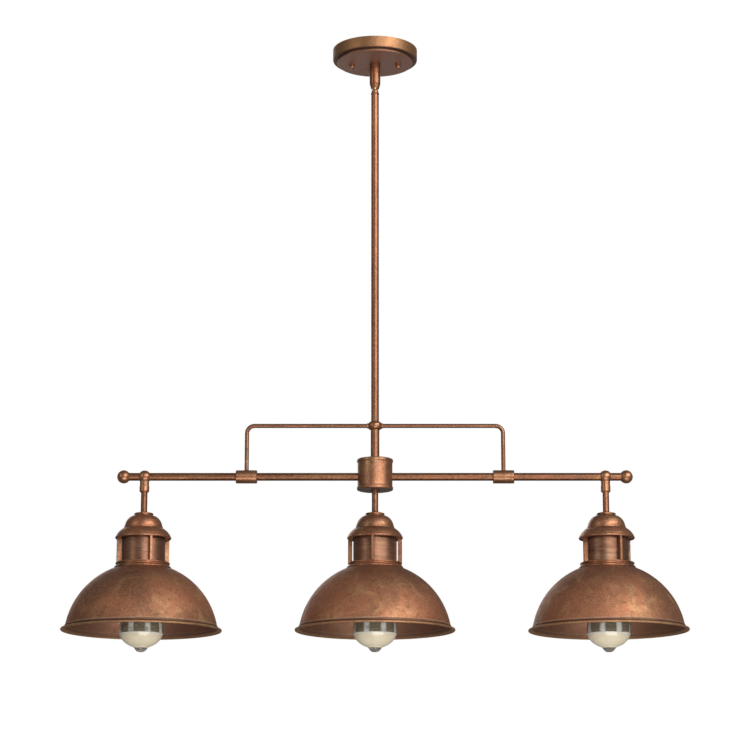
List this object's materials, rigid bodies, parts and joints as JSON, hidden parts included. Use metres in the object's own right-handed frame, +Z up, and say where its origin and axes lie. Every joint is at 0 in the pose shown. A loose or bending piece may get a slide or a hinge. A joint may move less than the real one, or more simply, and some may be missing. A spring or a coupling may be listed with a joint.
{
  "type": "linear pendant light",
  "caption": "Linear pendant light in aged copper: round canopy with ball swivel, downrod, hub with two arms and a brace, and caged bell heads with bowl shades and screw-in bulbs.",
  "frame": {"origin": "centre of the ceiling plane, on the axis of the canopy and midway between the bracket's two slots", "axes": "+Z up towards the ceiling, X along the arms, +Y towards the back, where the set screws are"},
  "size_m": [0.906, 0.232, 0.9162],
  "materials": {
    "aged_copper": "aged copper plate on steel, satin",
    "aged_brass": "aged copper plate on brass, satin",
    "cup_copper": "brushed copper plate on steel",
    "zinc_plate": "zinc plated",
    "raw_brass": "turned brass",
    "nylon": "white nylon",
    "lead_sheath": "black cable sheath",
    "porcelain": "glazed porcelain",
    "bulb_contact": "bulb contact in its glass insulator",
    "bulb_cap": "rolled screw cap",
    "bulb_glass": "clear amber glass, lower part coated cream",
    "filament": "filament coils on their supports"
  },
  "bodies": {
    "ceiling": {"canopy": "aged_copper", "ceiling_bracket": "zinc_plate", "canopy_studs": "zinc_plate", "canopy_ball_nuts": "aged_brass", "swivel_hood": "aged_copper", "swivel_locknut": "zinc_plate", "supply_leads": "lead_sheath"},
    "seat_ring": {"swivel_seat": "nylon"},
    "ball": {"swivel_ball": "raw_brass"},
    "frame": {"swivel_stem": "aged_copper", "downrod": "aged_copper", "brace_collar": "aged_brass", "hub_tube": "aged_copper", "brace_left": "aged_copper", "brace_right": "aged_copper", "brace_sleeve_left": "aged_brass", "brace_sleeve_right": "aged_brass", "hub_shell": "aged_copper", "hub_top_cap": "aged_copper", "hub_bottom_cap": "aged_copper", "arm_left": "aged_copper", "arm_right": "aged_copper", "arm_end_balls": "aged_brass", "hanger_left": "aged_brass", "hanger_right": "aged_brass", "set_screws": "zinc_plate", "wiring_loom": "lead_sheath", "stem_left": "aged_copper", "stem_center": "aged_copper", "stem_right": "aged_copper", "stem_flanges": "aged_copper", "lock_nuts": "raw_brass", "lampholder_left": "porcelain", "lampholder_center": "porcelain", "lampholder_right": "porcelain", "screw_shells": "raw_brass"},
    "head_left": {"crown_left": "aged_copper", "cup_left": "cup_copper", "cage_left": "aged_copper", "shade_left": "aged_copper"},
    "contact_left": {"bulb_contact_left": "bulb_contact"},
    "bulb_left": {"bulb_cap_left": "bulb_cap", "bulb_glass_left": "bulb_glass", "bulb_filament_left": "filament"},
    "head_center": {"crown_center": "aged_copper", "cup_center": "cup_copper", "cage_center": "aged_copper", "shade_center": "aged_copper"},
    "contact_center": {"bulb_contact_center": "bulb_contact"},
    "bulb_center": {"bulb_cap_center": "bulb_cap", "bulb_glass_center": "bulb_glass", "bulb_filament_center": "filament"},
    "head_right": {"crown_right": "aged_copper", "cup_right": "cup_copper", "cage_right": "aged_copper", "shade_right": "aged_copper"},
    "contact_right": {"bulb_contact_right": "bulb_contact"},
    "bulb_right": {"bulb_cap_right": "bulb_cap", "bulb_glass_right": "bulb_glass", "bulb_filament_right": "filament"}
  },
  "joints": [
    {"name": "swivel_rock_front_back", "type": "hinge", "parent": "ceiling", "child": "seat_ring", "pos_m": [0, 0, -0.0582], "axis": [1, 0, 0], "range_deg": [-12, 12]},
    {"name": "swivel_rock_side_to_side", "type": "hinge", "parent": "seat_ring", "child": "ball", "pos_m": [0, 0, -0.0582], "axis": [0, 1, 0], "range_deg": [-12, 12]},
    {"name": "rod_turn", "type": "hinge", "parent": "ball", "child": "frame", "pos_m": [0, 0, -0.0582], "axis": [0, 0, 1], "range_deg": [-170, 170]},
    {"name": "head_left_turn", "type": "hinge", "parent": "frame", "child": "head_left", "pos_m": [-0.337, 0, -0.7175], "axis": [0, 0, 1], "range_deg": [-180, 180]},
    {"name": "bulb_left_travel", "type": "slide", "parent": "frame", "child": "contact_left", "axis": [0, 0, -1], "range_m": [0, 0.01814]},
    {"name": "bulb_left_unscrew", "type": "hinge", "parent": "contact_left", "child": "bulb_left", "pos_m": [-0.337, 0, -0.7742], "axis": [0, 0, -1], "range_deg": [0, 1800]},
    {"name": "head_center_turn", "type": "hinge", "parent": "frame", "child": "head_center", "pos_m": [0, 0, -0.7175], "axis": [0, 0, 1], "range_deg": [-180, 180]},
    {"name": "bulb_center_travel", "type": "slide", "parent": "frame", "child": "contact_center", "axis": [0, 0, -1], "range_m": [0, 0.01814]},
    {"name": "bulb_center_unscrew", "type": "hinge", "parent": "contact_center", "child": "bulb_center", "pos_m": [0, 0, -0.7742], "axis": [0, 0, -1], "range_deg": [0, 1800]},
    {"name": "head_right_turn", "type": "hinge", "parent": "frame", "child": "head_right", "pos_m": [0.337, 0, -0.7175], "axis": [0, 0, 1], "range_deg": [-180, 180]},
    {"name": "bulb_right_travel", "type": "slide", "parent": "frame", "child": "contact_right", "axis": [0, 0, -1], "range_m": [0, 0.01814]},
    {"name": "bulb_right_unscrew", "type": "hinge", "parent": "contact_right", "child": "bulb_right", "pos_m": [0.337, 0, -0.7742], "axis": [0, 0, -1], "range_deg": [0, 1800]}
  ],
  "couplings": [
    {"joint": "bulb_left_unscrew", "follows": "bulb_left_travel", "rad_per_m": 1731.4},
    {"joint": "bulb_center_unscrew", "follows": "bulb_center_travel", "rad_per_m": 1731.4},
    {"joint": "bulb_right_unscrew", "follows": "bulb_right_travel", "rad_per_m": 1731.4}
  ]
}
